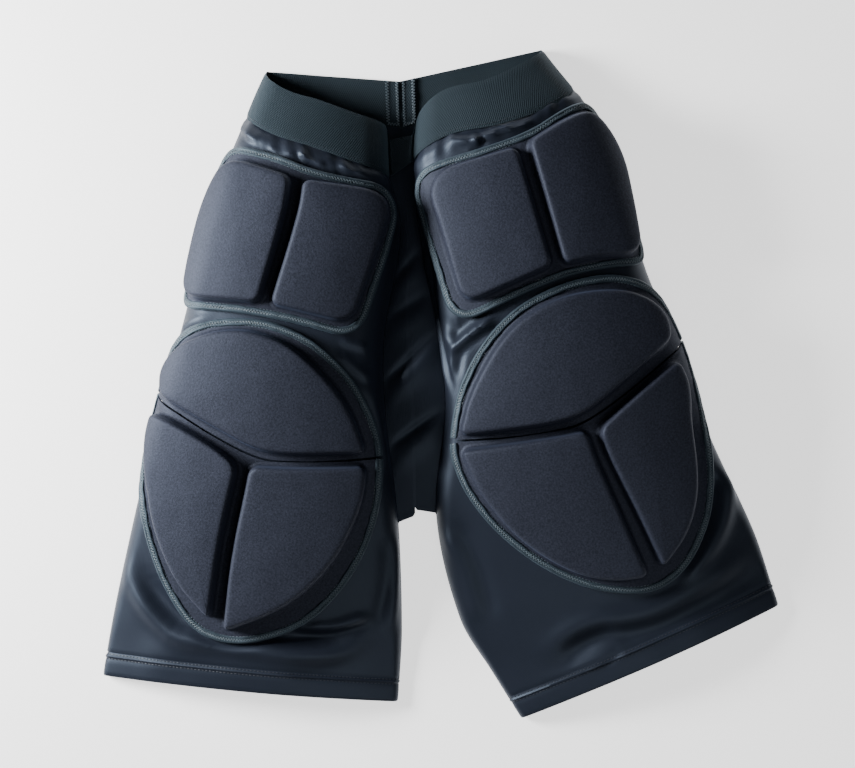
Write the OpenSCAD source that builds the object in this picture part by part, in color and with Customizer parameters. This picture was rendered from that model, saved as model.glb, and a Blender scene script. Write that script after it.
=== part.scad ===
// Padded hockey shorts, laid on their back, front face up, waist towards +Y.
// Left and right are the wearer's: the right half lies towards -X. Millimetres.

/* [Fabric] */
// Thickness of the shell fabric
fabric_t = 1.6; // [1:0.1:2]
// Thickness of the waist elastic
elastic_t = 2.0; // [1.2:0.1:2.4]
// Depth of the waist elastic at the back
band_depth = 38; // [32:1:40]
// Depth of the turned hem
hem_depth = 20; // [12:1:28]
// Turn of the wearer's right half away from the centre line
right_turn = 7.4; // [6.5:0.1:8]
// Turn of the wearer's left half away from the centre line
left_turn = 16.4; // [15.5:0.1:17]

/* [Pads] */
// Height of the foam cells of the hip and thigh pads
cell_h = 15.5; // [12:0.5:17]
// Width that each cell's edge is sloped in by
cell_slope = 2.4; // [1:0.1:3]
// Thickness of the knit face over a cell
cover_t = 1.0; // [0.8:0.1:1.2]
// Width of the folded binding round each pad
binding_w = 6; // [5:0.5:8]
// Height of the folded binding
binding_h = 3.2; // [2:0.2:4]
// Thickness of the pads that lie under the seat
rear_h = 14; // [12:0.2:14.2]

/* [Hidden] */

// Moves the drawn shorts so that their box is centred on the origin
centring = [0.6, 0.1, -0.2];
// Half the angle of the flatter arc over the top of each half's cross-section
crown = 17;

knit = [0.13, 0.15, 0.19];
pad_knit = [0.2, 0.22, 0.28];
lining = [0.09, 0.1, 0.12];
elastic = [0.17, 0.22, 0.24];
tape = [0.2, 0.25, 0.3];
foam = [0.35, 0.36, 0.38];

// Stations down each half from the waist: distance down, half-widths to the
// outseam and to the centre, height of the front over the back, height of the back
right_stations = [
    [-40, 50, 42, 25, 2], [0, 60, 48, 30, 6], [45, 72, 56, 34, 15], [90, 82, 72, 36, 17],
    [180, 92, 70, 36, 17], [240, 100, 79, 36, 17], [320, 110, 99, 33, 11],
    [410, 119, 114, 27, 4], [460, 122, 118, 23, 2.8], [520, 123, 121, 22, 2.8]];
left_stations = [
    [-40, 50, 46, 25, 2], [0, 62, 54, 30, 6], [45, 80, 70, 34, 15], [90, 86, 80, 36, 17],
    [180, 86, 90, 36, 17], [240, 93, 101, 36, 17], [320, 98, 132, 33, 11],
    [410, 112, 138, 27, 4], [460, 114, 125, 23, 2.8], [520, 116, 108, 22, 2.8]];
// Waistband's top and lower edges across each half, from the centre (-1) to the side (1)
right_band = [[-1, 8, 50], [-0.5, 4, 44], [0, -3, 36], [0.4, -8, 30], [1, -25, 13]];
left_band = [[-1, 10, 42], [-0.5, -4, 33], [0, -2, 37], [0.5, -8, 34], [1, -17, 21]];

// side, top of the half, its turn, stations, band edges, back band's top at the centre,
// hem's distance down at its middle, hem's slant, thigh pad's centre, hip pad's centre
right = [-1, [-93, 224], right_turn, right_stations, right_band, -31, 477, 5, [304, 2], [110, 3]];
left = [1, [32, 241], left_turn, left_stations, left_band, -25, 488, -15, [300, 6], [110, 3]];

// The thigh pad's flex groove: across the pad, distance down from its centre
groove = [[-112, -34], [-55, -22], [-20, -17], [5, -17], [38, -28], [82, -48], [112, -62]];
// The binding's outer edge round each pad: distance down and outwards from the
// pad's centre, and, where given, the length of edge that a corner's rounding takes up
right_thigh_outline = [[-35, -93], [18, -93], [70, -76], [115, -42], [137, 8], [131, 48], [92, 80],
    [40, 102], [-25, 108], [-58, 103], [-88, 96], [-118, 68], [-128, 18], [-118, -26], [-92, -62],
    [-65, -81]];
left_thigh_outline = [[-30, -106], [5, -98], [52, -78], [92, -50], [120, -16], [133, 24], [118, 60],
    [82, 92], [40, 108], [-22, 109], [-55, 105], [-84, 97], [-110, 78], [-125, 50], [-128, 4],
    [-116, -42], [-78, -88]];
right_hip_outline = [[-52, -80, 30], [75, -66, 26], [64, 10, 40], [67, 88, 20], [-20, 88, 40],
    [-69, 68, 28], [-64, 22, 40], [-53, -14, 40]];
left_hip_outline = [[-59, -88, 30], [72, -78, 26], [58, 6, 40], [60, 50, 40], [68, 88, 20],
    [-20, 92, 40], [-73, 74, 26], [-72, 50, 30], [-58, 10, 40]];
// The foam cells' outlines, in the same way
right_thigh_top = [[-31, -79, 9], [-27, -50, 40], [-22, -16, 40], [-23, 8, 40], [-36, 40, 40],
    [-55, 85, 9], [-80, 88, 40], [-106, 66, 40], [-118, 30, 40], [-113, -6, 40], [-94, -36, 40],
    [-66, -64, 40]];
right_thigh_inner = [[-22, -80, 9], [10, -78, 40], [60, -60, 40], [100, -26, 40], [126, 23, 9],
    [62, 22, 40], [-11, 12, 9], [-13, -20, 40]];
right_thigh_outer = [[-10, 20, 9], [50, 30, 40], [118, 33, 9], [90, 66, 40], [40, 91, 40],
    [-16, 97, 40], [-44, 92, 9], [-25, 43, 40]];
left_thigh_top = [[-34, -95, 9], [-27, -50, 40], [-22, -16, 40], [-23, 8, 40], [-38, 38, 40],
    [-60, 82, 9], [-84, 82, 40], [-107, 64, 40], [-117, 26, 40], [-117, -6, 40], [-105, -42, 40],
    [-66, -82, 40]];
left_thigh_inner = [[-24, -95, 9], [14, -83, 40], [62, -62, 40], [98, -32, 40], [113, -4, 30],
    [117, 23, 9], [46, 19, 40], [-11, 8, 9], [-13, -20, 40]];
left_thigh_outer = [[-9, 15, 9], [52, 29, 40], [114, 34, 9], [90, 68, 40], [50, 90, 40],
    [-16, 95, 40], [-45, 85, 9], [-25, 43, 40]];
right_hip_inner = [[-46, -70, 24], [63, -58, 18], [56, 8, 8], [-46, -1, 8]];
right_hip_outer = [[-47, 7, 8], [56, 15, 8], [59, 78, 18], [16, 80, 40], [-24, 77, 40], [-58, 58, 18]];
left_hip_inner = [[-51, -72, 26], [58, -66, 18], [48, 9, 8], [-51, 3, 8]];
left_hip_outer = [[-52, 11, 8], [50, 16, 8], [51, 45, 30], [59, 79, 18], [20, 82, 40],
    [-25, 84, 40], [-63, 68, 22], [-64, 50, 24]];

// ---- Curves and outlines

function unit(v) = v / norm(v);
function rad(a) = a * PI / 180;
function deg(r) = r * 180 / PI;
function mix(a, b, f) = a + (b - a) * f;
function cell(t, i, c) = t[max(0, min(len(t) - 1, i))][c];
function seg(t, x, i = 0) = (i >= len(t) - 2 || x < t[i + 1][0]) ? i : seg(t, x, i + 1);
function slope(t, i, c) = (cell(t, i + 1, c) - cell(t, i - 1, c)) / (cell(t, i + 1, 0) - cell(t, i - 1, 0));

// Column c of table t at x, on a smooth curve through its rows
function at(t, x, c) =
    let (i = seg(t, x), d = t[i + 1][0] - t[i][0], f = max(0, min(1, (x - t[i][0]) / d)))
    (2 * f^3 - 3 * f^2 + 1) * t[i][c] + (f^3 - 2 * f^2 + f) * d * slope(t, i, c)
    + (3 * f^2 - 2 * f^3) * t[i + 1][c] + (f^3 - f^2) * d * slope(t, i + 1, c);

// Closed outline with each corner rounded over at most its own length of edge
function rounded(c, n) = [for (i = [0:len(c) - 1])
    let (k = len(c), p = [c[i][0], c[i][1]], r = c[i][2] == undef ? 99 : c[i][2],
        a = [c[(i + k - 1) % k][0], c[(i + k - 1) % k][1]] - p,
        b = [c[(i + 1) % k][0], c[(i + 1) % k][1]] - p,
        pa = p + unit(a) * min(r, 0.48 * norm(a)), pb = p + unit(b) * min(r, 0.48 * norm(b)))
    for (j = [0:n]) let (f = j / n) (1 - f)^2 * pa + 2 * f * (1 - f) * p + f^2 * pb];
function refine(o, step) = [for (i = [0:len(o) - 1])
    let (a = o[i], b = o[(i + 1) % len(o)], n = max(1, ceil(norm(b - a) / step)))
    for (k = [0:n - 1]) mix(a, b, k / n)];
function normal_in(o, i) = let (n = len(o), t = unit(o[(i + 1) % n] - o[(i + n - 1) % n])) [-t[1], t[0]];
function inset(o, d) = [for (i = [0:len(o) - 1]) o[i] + d * normal_in(o, i)];
function middle(o) = [for (k = [0, 1]) ([for (p = o) p[k]] * [for (p = o) 1]) / len(o)];
function groove_at(q) = at(groove, q, 1);

// ---- The shape of each half

// Half-width, middle, rise, back's height, and the cross-section's arcs
function section(s, u) =
    let (out = at(s[3], u, 1), in = at(s[3], u, 2), h = at(s[3], u, 3), a = (out + in) / 2,
        d = (a - h) / (sin(crown) + cos(crown) - 1), r = a - d * sin(crown))
    [a, (out - in) / 2, h, at(s[3], u, 4), d, r, d + r];
// Length of fabric from the crown to the side fold
function half_arc(s, u) = let (c = section(s, u)) rad(crown) * c[6] + (PI / 2 - rad(crown)) * c[5];
function place(s, u, v, z) =
    [s[1][0] + s[0] * (u * sin(s[2]) + v * cos(s[2])), s[1][1] - u * cos(s[2]) + v * sin(s[2]), z];
// Point u down the half and w round it from the crown, raised by off
function skin(s, u, w, off) =
    let (c = section(s, u), m = abs(w), top = rad(crown) * c[6], low = m > top,
        b = low ? crown + deg((m - top) / c[5]) : deg(m / c[6]), r = (low ? c[5] : c[6]) + off,
        x = (low ? c[4] * sin(crown) : 0) + r * sin(b),
        z = c[2] - c[6] + (low ? c[4] * cos(crown) : 0) + r * cos(b))
    place(s, u, c[1] + sign(w) * x, c[3] + z);
// The same with t from -1 at the centre fold to 1 at the side fold
function skin_t(s, u, t, off) = skin(s, u, t * half_arc(s, u), off);
function back(s, u, v, z) = place(s, u, v, section(s, u)[3] + z);
function v_out(s, u) = at(s[3], u, 1);
function v_in(s, u) = -at(s[3], u, 2);
// Across the back to the centre-back seam, a line that leans a little
seam_x = -25.3;
seam_lean = 0.035;
function v_seam(s, u, gap) =
    let (p = place(s, u, 0, 0), k = s[0] * cos(s[2]) + seam_lean * sin(s[2]))
    (seam_x - p[0] - seam_lean * p[1]) / k + gap;
function split(s, t) = let (w = t * half_arc(s, s[8][0] - 20)) s[8][0] + groove_at(w - s[8][1]);
function hem(s, t) = s[6] + s[7] * t;

// ---- Solids from points

module mesh(pts, faces, flip) {
    translate(centring) polyhedron(pts, flip ? [for (f = faces) [f[2], f[1], f[0]]] : faces);
}
function quad(a, b, c, d) = [[a, b, c], [a, c, d]];

// A closed sheet between an upper and a lower grid of points
module sheet(top, low, flip) {
    n = len(top);
    m = len(top[0]);
    k = n * m;
    mesh(concat([for (r = top) each r], [for (r = low) each r]), concat(
        [for (i = [0:n - 2], j = [0:m - 2]) each
            quad(i * m + j, i * m + j + 1, (i + 1) * m + j + 1, (i + 1) * m + j)],
        [for (i = [0:n - 2], j = [0:m - 2]) each
            quad(k + (i + 1) * m + j, k + (i + 1) * m + j + 1, k + i * m + j + 1, k + i * m + j)],
        [for (j = [0:m - 2]) each quad(j + 1, j, k + j, k + j + 1)],
        [for (j = [0:m - 2], e = (n - 1) * m) each quad(e + j, e + j + 1, k + e + j + 1, k + e + j)],
        [for (i = [0:n - 2]) each quad(i * m, (i + 1) * m, k + (i + 1) * m, k + i * m)],
        [for (i = [0:n - 2], e = m - 1) each
            quad((i + 1) * m + e, i * m + e, k + i * m + e, k + (i + 1) * m + e)]), flip);
}

// A closed form from a first pole, through rings of equal length, to a last pole
module pebble(first, rings, last, flip) {
    n = len(rings);
    m = len(rings[0]);
    end = n * m + 1;
    mesh(concat([first], [for (r = rings) each r], [last]), concat(
        [for (j = [0:m - 1]) [0, 1 + j, 1 + (j + 1) % m]],
        [for (i = [0:n - 2], j = [0:m - 1]) let (a = 1 + i * m, b = a + m, h = (j + 1) % m) each
            quad(a + j, b + j, b + h, a + h)],
        [for (j = [0:m - 1], e = 1 + (n - 1) * m) [e + j, end, e + (j + 1) % m]]), flip);
}

// A band of equal cross-sections, closed into a ring or capped at both ends
module band(sections, ring, flip) {
    n = len(sections);
    m = len(sections[0]);
    mesh([for (s = sections) each s], concat(
        [for (i = [0:n - (ring ? 1 : 2)], j = [0:m - 1])
            let (a = i * m, b = ((i + 1) % n) * m, h = (j + 1) % m) each quad(a + j, b + j, b + h, a + h)],
        ring ? [] : [for (j = [1:m - 2]) [0, j, j + 1]],
        ring ? [] : [for (j = [1:m - 2], e = (n - 1) * m) [e, e + j + 1, e + j]]), flip);
}

// Grid of front fabric between two edges that are functions of t
function front_grid(s, ts, tops, ends, rows, off) = [for (k = [0:rows])
    [for (j = [0:len(ts) - 1]) skin_t(s, mix(tops[j], ends[j], k / rows), ts[j], off)]];
// Columns close together where the fabric turns down at the sides
arch_ts = [for (a = [-1, -0.95, -0.9, -0.84, -0.78, -0.7, -0.45, -0.15, 0.15, 0.45, 0.7, 0.78, 0.84,
    0.9, 0.95, 1]) a];

// ---- Waistband

seam_gap = 0.4;
// Cross-section of the elastic: three points down its outer face, three up its inner face
function band_section(s, t) = let (top = at(s[4], t, 1), low = at(s[4], t, 2))
    [for (e = [[0, 0], [0.5, 0], [1, 0], [1, 1], [0.5, 1], [0, 1]])
        skin_t(s, mix(top, low, e[0]), t, 0.3 - elastic_t * e[1])];
// Top edge of the back of the elastic, from the side (0) to the centre (1)
function back_band_top(s, f) = mix(at(s[4], 1, 1), s[5], f);
function back_band_section(s, f) = let (top = back_band_top(s, f))
    [for (e = [[0, -1], [0.5, -1], [1, -1], [1, 0], [0.5, 0], [0, 0]]) let (u = top + band_depth * e[0])
        back(s, u, mix(v_out(s, u) - 3, v_seam(s, u, 0), f), elastic_t * e[1])];
// Height of the front of the elastic over the back, between the halves
dip_rise = 4;
module waistband() {
    across = [for (t = arch_ts) t];
    n = len(across) - 1;
    dip = [for (f = [0.2, 0.5, 0.8]) [for (k = [0:5]) let (row = min(k, 5 - k))
        mix(band_section(right, -1)[row], band_section(left, -1)[row], f)
            + [0, 0, k < 3 ? dip_rise + elastic_t : dip_rise]]];
    color(elastic) band(concat(
        [for (j = [0:n]) band_section(right, across[n - j])], dip,
        [for (j = [0:n]) band_section(left, across[j])],
        [for (f = [0, 0.15, 0.4, 0.7, 0.97]) back_band_section(left, f)],
        [for (f = [1, 0.7, 0.4, 0.15, 0]) back_band_section(right, f)]), true, false);
}
// The two turned ends of the elastic, sewn down inside the centre back
module waistband_join() {
    color(elastic) for (s = [right, left]) sheet(join_grid(s, 3), join_grid(s, 2.3), s[0] < 0);
}
function join_grid(s, z) = [for (f = [0.04, 0.45, 0.85]) [for (v = [3.5, 11])
    let (u = s[5] + band_depth * f) back(s, u, v_seam(s, u, 0) + v, z)]];

// ---- Shell panels

module front_panel(s) {
    tops = [for (t = arch_ts) at(s[4], t, 2) + 1.2];
    ends = [for (t = arch_ts) split(s, t) - 0.8];
    color(knit) sheet(front_grid(s, arch_ts, tops, ends, 11, 0),
        front_grid(s, arch_ts, tops, ends, 11, -fabric_t), s[0] < 0);
}
module leg_front(s) {
    tops = [for (t = arch_ts) split(s, t) + 0.8];
    ends = [for (t = arch_ts) hem(s, t) - hem_depth - 0.5];
    color(knit) sheet(front_grid(s, arch_ts, tops, ends, 9, 0),
        front_grid(s, arch_ts, tops, ends, 9, -fabric_t), s[0] < 0);
}
function leg_back_grid(s, z) = [for (k = [0:8]) [for (f = [0:0.2:1])
    let (t = 2 * f - 1, u = mix(split(s, t) + 0.8, hem(s, t) - hem_depth - 0.5, k / 8))
    back(s, u, mix(v_in(s, u) + 0.6, v_out(s, u) - 0.6, f), z)]];
module leg_back(s) {
    color(knit) sheet(leg_back_grid(s, -0.4), leg_back_grid(s, -0.4 - fabric_t), s[0] < 0);
}
// Columns from the centre-back seam out to the side fold. The first ones, below
// the centre front panel, run on down to the crotch.
crotch_right = 318;
crotch_left = 313;
function crotch(s) = s[0] < 0 ? crotch_right : crotch_left;
function back_v(s, u, c) =
    c == 0 ? v_seam(s, u, seam_gap) : c == 1 ? v_in(s, u) - 2.2 : c == 2 ? v_in(s, u) - 1.2 :
    mix(v_in(s, u) - 1.2, v_out(s, u) - 0.6, (c - 2) / 5);
function back_grid(s, z) = [for (k = [0:11]) [for (c = [0:7])
    let (t = max(-1, 2 * (c - 2) / 5 - 1),
        top = back_band_top(s, c < 2 ? 1 : 1 - (c - 1) / 6) + band_depth + 1,
        end = c < 2 ? crotch(s) : split(s, t) - 0.8, u = mix(top, end, k / 11))
    back(s, u, back_v(s, u, c), z)]];
module back_panel(s) {
    color(knit) sheet(back_grid(s, -0.4), back_grid(s, -0.4 - fabric_t), s[0] < 0);
}
// The panel between the two halves has sunk on to the back
function centre_grid(z) = [for (k = [0:14]) [for (f = [0:0.2:1])
    let (ur = mix(at(right[4], -1, 2) + 1.6, crotch_right, k / 14),
        ul = mix(at(left[4], -1, 2) + 1.6, crotch_left, k / 14))
    mix(back(right, ur, v_in(right, ur) - 0.8, 1.4 + z), back(left, ul, v_in(left, ul) - 0.8, 1.4 + z), f)
        + [0, 0, 10 * f * (1 - f) * sin(180 * k / 14)]]];
module centre_front_panel() {
    color(knit) sheet(centre_grid(fabric_t), centre_grid(0), false);
}
function hem_front(s, t) = let (b = hem(s, t), a = b - hem_depth)
    [skin_t(s, a, t, 0.4), skin_t(s, b, t, 0.4), skin_t(s, b, t, -1.8), skin_t(s, a, t, -1.8)];
function hem_back(s, f) = let (b = hem(s, 2 * f - 1), a = b - hem_depth)
    [for (e = [[a, -2.5], [b, -2.5], [b, -0.4], [a, -0.4]])
        back(s, e[0], mix(v_in(s, e[0]) + 3.2, v_out(s, e[0]) - 3.2, f), e[1])];
module hem_ring(s) {
    color(knit) band(concat([for (t = arch_ts) hem_front(s, t)],
        [for (f = [1, 0.8, 0.5, 0.2, 0]) hem_back(s, f)]), true, s[0] < 0);
}

// ---- Pads that follow the curve of a half

back_off = 2.9;
back_t = 0.9;
cover_off = back_off + back_t + 0.9;
// Above the backing a stiff pad stands more upright than the fabric's own curve
upright = 0.6;
function raised(s, u, w, off) = off <= cover_off ? skin(s, u, w, off) :
    let (foot = skin(s, u, w, cover_off), out = skin(s, u, w, cover_off + 1) - foot)
    foot + (off - cover_off) * unit((1 - upright) * out + [0, 0, upright]);
function pad_ring(s, c, o, off) = [for (p = o) raised(s, c[0] + p[0], c[1] + p[1], off)];
function shrink(o, f) = let (m = middle(o)) [for (p = o) mix(m, p, f)];
function pad_point(s, c, p, off) = raised(s, c[0] + p[0], c[1] + p[1], off);

module pad_backing(s, c, o) {
    m = middle(o);
    fs = [0.4, 0.7, 0.82, 0.92, 1];
    color(lining) pebble(pad_point(s, c, m, back_off), concat(
        [for (f = fs) pad_ring(s, c, shrink(o, f), back_off)],
        [for (i = [len(fs) - 1:-1:0]) pad_ring(s, c, shrink(o, fs[i]), back_off + back_t)]),
        pad_point(s, c, m, back_off + back_t), s[0] < 0);
}
// One foam block, inside its knit face
foam_gap = 1.4;
module pad_foam(s, c, corners) {
    o = inset(refine(rounded(corners, 2), 26), cover_t + foam_gap);
    m = middle(o);
    low = cover_off + 1.6;
    high = cover_off + cell_h - cover_t - foam_gap;
    color(foam) pebble(pad_point(s, c, m, low), concat(
        [for (f = [0.45, 0.78, 1]) pad_ring(s, c, shrink(o, f), low)],
        [pad_ring(s, c, inset(o, cell_slope * 0.4), high - cell_slope),
            pad_ring(s, c, inset(o, cell_slope * 1.4), high)],
        [for (f = [0.55]) pad_ring(s, c, shrink(inset(o, cell_slope * 1.4), f), high)]),
        pad_point(s, c, m, high), s[0] < 0);
}
// The face is moulded over the block and open towards the backing
module pad_face(s, c, corners) {
    o = refine(rounded(corners, 2), 26);
    m = middle(o);
    high = cover_off + cell_h;
    inner = inset(o, cover_t);
    color(pad_knit) pebble(pad_point(s, c, m, high - cover_t), concat(
        [pad_ring(s, c, shrink(inset(inner, cell_slope * 1.4), 0.55), high - cover_t),
            pad_ring(s, c, inset(inner, cell_slope * 1.4), high - cover_t),
            pad_ring(s, c, inset(inner, cell_slope * 0.4), high - cell_slope - cover_t),
            pad_ring(s, c, inner, cover_off)],
        [pad_ring(s, c, o, cover_off),
            pad_ring(s, c, inset(o, cell_slope * 0.4), high - cell_slope),
            pad_ring(s, c, inset(o, cell_slope * 1.4), high),
            pad_ring(s, c, shrink(inset(o, cell_slope * 1.4), 0.55), high)]),
        pad_point(s, c, m, high), s[0] < 0);
}
function bead(s, c, p, n) = [for (e = [[0, 0], [1, 0], [1, 0.7], [0.7, 1], [0.3, 1], [0, 0.7]])
    pad_point(s, c, p + n * binding_w * e[0], back_off - 0.3 + binding_h * e[1])];
// Folded tape just outside the backing's edge. The outline given is the tape's outer edge.
module pad_binding(s, c, o, ring) {
    last = ring ? len(o) - 1 : len(o) - 2;
    color(tape) band([for (i = [ring ? 0 : 1:last]) bead(s, c, o[i], normal_in(o, i))], ring, s[0] < 0);
}
backing_in = binding_w + 0.4;

function hip_edge(s) = refine(rounded(s[0] < 0 ? right_hip_outline : left_hip_outline, 3), 16);
function thigh_edge(s) = refine(rounded(s[0] < 0 ? right_thigh_outline : left_thigh_outline, 2), 15);
// The stretch of an outline on one side of the groove, in order from one end to the other
function beyond(p, lower, gap) = lower ? p[0] > groove_at(p[1]) + gap : p[0] < groove_at(p[1]) - gap;
function part_of_edge(o, lower, gap) = let (n = len(o), keep = [for (p = o) beyond(p, lower, gap)],
    start = [for (i = [0:n - 1]) if (keep[i] && !keep[(i + n - 1) % n]) i][0])
    [for (k = [0:n - 1]) if (keep[(start + k) % n]) o[(start + k) % n]];
groove_qs = [for (q = [-92, -70, -50, -30, -10, 10, 30, 50, 70, 90]) q];
// Half of the thigh pad's backing, from its outer curve and the groove
function half_backing(s, lower) = let (o = part_of_edge(inset(thigh_edge(s), backing_in), lower, 5))
    concat(o, [for (q = groove_qs) let (x = lower ? -q : q) [groove_at(x) + (lower ? 1.2 : -1.2), x]]);

// ---- Pads under the seat: flat, so that the shorts rest on them

rear_cell_in = 11;
rear_gap = 7;
rear_low = rear_h - 2.6;
function box_corners(w, h, r) = [for (e = [[-1, -1], [1, -1], [1, 1], [-1, 1]]) [e[0] * w / 2, e[1] * h / 2, r]];
tailbone = [[-27, 80], 50, 108];
right_seat = [[-113, 76], 92, 112];
left_seat = [[63, 84], 92, 112];
module rear_plate(pad, d, z0, z1) {
    translate([centring[0] + pad[0][0], centring[1] + pad[0][1], z0]) linear_extrude(z1 - z0)
        polygon(rounded(box_corners(pad[1] - 2 * d, pad[2] - 2 * d, 20 - d / 2), 5));
}
// Upper and lower block, each the size of half the pad less its rims
module rear_cells(pad, grow, z0, z1) {
    h = (pad[2] - 2 * rear_cell_in - rear_gap) / 2;
    for (k = [-1, 1])
        translate([centring[0] + pad[0][0], centring[1] + pad[0][1] + k * (h + rear_gap) / 2, z0])
        linear_extrude(z1 - z0)
            polygon(rounded(box_corners(pad[1] - 2 * rear_cell_in + 2 * grow, h + 2 * grow, 12 + grow), 5));
}
module rear_backing(pad) {
    color(lining) rear_plate(pad, backing_in, rear_h - 1.2, rear_h);
}
module rear_foam(pad) {
    color(foam) rear_cells(pad, -cover_t - foam_gap, cover_t + foam_gap, rear_low + 0.6);
}
module rear_cover(pad) {
    color(pad_knit) difference() {
        rear_cells(pad, 0, 0, rear_low + 0.8);
        rear_cells(pad, -cover_t, cover_t, rear_h);
    }
}
module rear_binding(pad) {
    color(tape) difference() {
        rear_plate(pad, 0, rear_h - binding_h, rear_h);
        rear_plate(pad, binding_w, rear_h - binding_h - 1, rear_h + 1);
    }
}

// ---- Nodes

waistband();
waistband_join();
centre_front_panel();
front_panel(right);  // right_front_panel
front_panel(left);  // left_front_panel
back_panel(right);  // right_back_panel
back_panel(left);  // left_back_panel
hip_backing(right);  // right_hip_backing
pad_foam(right, right[9], right_hip_inner);  // right_hip_foam_inner
pad_foam(right, right[9], right_hip_outer);  // right_hip_foam_outer
hip_cover(right, right_hip_inner, right_hip_outer);  // right_hip_cover
pad_binding(right, right[9], hip_edge(right), true);  // right_hip_binding
hip_backing(left);  // left_hip_backing
pad_foam(left, left[9], left_hip_inner);  // left_hip_foam_inner
pad_foam(left, left[9], left_hip_outer);  // left_hip_foam_outer
hip_cover(left, left_hip_inner, left_hip_outer);  // left_hip_cover
pad_binding(left, left[9], hip_edge(left), true);  // left_hip_binding
thigh_backing(right, false);  // right_thigh_backing_upper
pad_foam(right, right[8], right_thigh_top);  // right_thigh_foam_top
pad_face(right, right[8], right_thigh_top);  // right_thigh_cover_upper
half_binding(right, false);  // right_thigh_binding_upper
thigh_backing(left, false);  // left_thigh_backing_upper
pad_foam(left, left[8], left_thigh_top);  // left_thigh_foam_top
pad_face(left, left[8], left_thigh_top);  // left_thigh_cover_upper
half_binding(left, false);  // left_thigh_binding_upper
rear_backing(tailbone);  // tailbone_backing
rear_foam(tailbone);  // tailbone_foam
rear_cover(tailbone);  // tailbone_cover
rear_binding(tailbone);  // tailbone_binding
rear_backing(right_seat);  // right_seat_backing
rear_foam(right_seat);  // right_seat_foam
rear_cover(right_seat);  // right_seat_cover
rear_binding(right_seat);  // right_seat_binding
rear_backing(left_seat);  // left_seat_backing
rear_foam(left_seat);  // left_seat_foam
rear_cover(left_seat);  // left_seat_cover
rear_binding(left_seat);  // left_seat_binding
leg_front(right);  // right_leg_front
leg_back(right);  // right_leg_back
hem_ring(right);  // right_hem
thigh_backing(right, true);  // right_thigh_backing_lower
pad_foam(right, right[8], right_thigh_inner);  // right_thigh_foam_inner
pad_foam(right, right[8], right_thigh_outer);  // right_thigh_foam_outer
thigh_cover_lower(right, right_thigh_inner, right_thigh_outer);  // right_thigh_cover_lower
half_binding(right, true);  // right_thigh_binding_lower
leg_front(left);  // left_leg_front
leg_back(left);  // left_leg_back
hem_ring(left);  // left_hem
thigh_backing(left, true);  // left_thigh_backing_lower
pad_foam(left, left[8], left_thigh_inner);  // left_thigh_foam_inner
pad_foam(left, left[8], left_thigh_outer);  // left_thigh_foam_outer
thigh_cover_lower(left, left_thigh_inner, left_thigh_outer);  // left_thigh_cover_lower
half_binding(left, true);  // left_thigh_binding_lower

module hip_backing(s) {
    pad_backing(s, s[9], inset(hip_edge(s), backing_in));
}
module thigh_backing(s, lower) {
    pad_backing(s, s[8], half_backing(s, lower));
}
module hip_cover(s, inner, outer) {
    pad_face(s, s[9], inner);
    pad_face(s, s[9], outer);
}
module thigh_cover_lower(s, inner, outer) {
    pad_face(s, s[8], inner);
    pad_face(s, s[8], outer);
}
module half_binding(s, lower) {
    pad_binding(s, s[8], part_of_edge(thigh_edge(s), lower, 1.5), false);
}
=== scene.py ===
import math
import bpy
import bmesh
import numpy as np
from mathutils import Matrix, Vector


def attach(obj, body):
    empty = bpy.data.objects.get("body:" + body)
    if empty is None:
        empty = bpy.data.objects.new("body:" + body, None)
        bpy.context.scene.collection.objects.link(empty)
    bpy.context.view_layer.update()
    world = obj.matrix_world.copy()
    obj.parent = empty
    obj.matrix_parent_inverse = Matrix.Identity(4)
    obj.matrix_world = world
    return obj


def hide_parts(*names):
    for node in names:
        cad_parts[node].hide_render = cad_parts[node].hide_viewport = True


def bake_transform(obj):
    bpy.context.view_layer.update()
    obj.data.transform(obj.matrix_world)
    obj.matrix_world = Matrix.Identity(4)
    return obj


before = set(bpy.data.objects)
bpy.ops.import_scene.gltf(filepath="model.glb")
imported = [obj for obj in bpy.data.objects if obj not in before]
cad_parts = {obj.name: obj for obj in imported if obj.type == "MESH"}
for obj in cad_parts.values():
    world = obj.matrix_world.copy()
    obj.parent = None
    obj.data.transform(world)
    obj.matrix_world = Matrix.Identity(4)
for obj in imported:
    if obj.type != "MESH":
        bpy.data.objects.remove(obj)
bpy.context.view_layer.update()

mm = 0.001  # lengths below are millimetres, and meshes are made in metres
pi = math.pi


# Camera: straight above the laid-out shorts, waist up

cameraView = {"place": (-0.0109, 0.0001, 1.5), "lens": 77.0, "sensor": 36.0}
lens = bpy.data.cameras.new("camera")
lens.lens = cameraView["lens"]
lens.sensor_width = cameraView["sensor"]
camera = bpy.data.objects.new("camera", lens)
camera.location = cameraView["place"]
bpy.context.scene.collection.objects.link(camera)
bpy.context.scene.camera = camera
print("camera placed")


# The shape of each half. A place on it is u down from the waist, w round from the
# crown towards the side fold, and off, the height above the fabric.

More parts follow.
